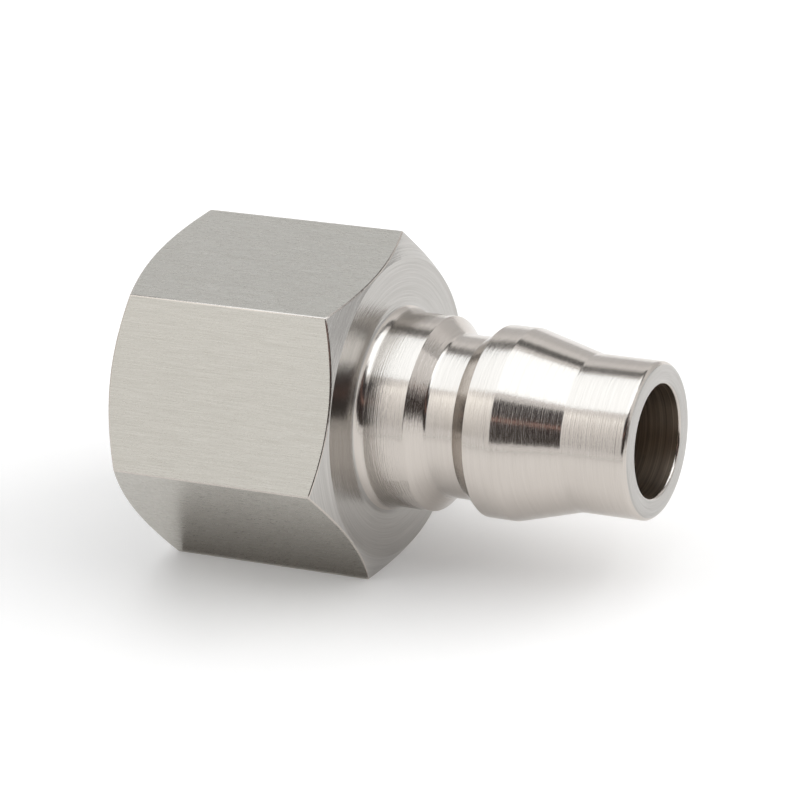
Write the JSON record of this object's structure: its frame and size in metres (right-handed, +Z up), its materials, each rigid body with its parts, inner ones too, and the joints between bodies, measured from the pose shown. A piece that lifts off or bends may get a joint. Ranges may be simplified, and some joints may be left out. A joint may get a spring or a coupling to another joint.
{
  "type": "quick coupling plug, female thread",
  "caption": "Stainless steel plug half of a quick coupling: hexagon body with a female pipe thread, ball groove, locking land, long cone and plain sealing tip, open right through.",
  "frame": {"origin": "centre of the hexagon's front face, on the axis of the flow bore", "axes": "+X along the bore axis towards the nose, +Z up with the hexagon lying on one flat"},
  "size_m": [0.033, 0.022, 0.019],
  "materials": {
    "stainless": "fine turned marks on the round faces, fine straight grain along the flats"
  },
  "bodies": {
    "root": {"plug_body": "stainless"}
  },
  "joints": []
}
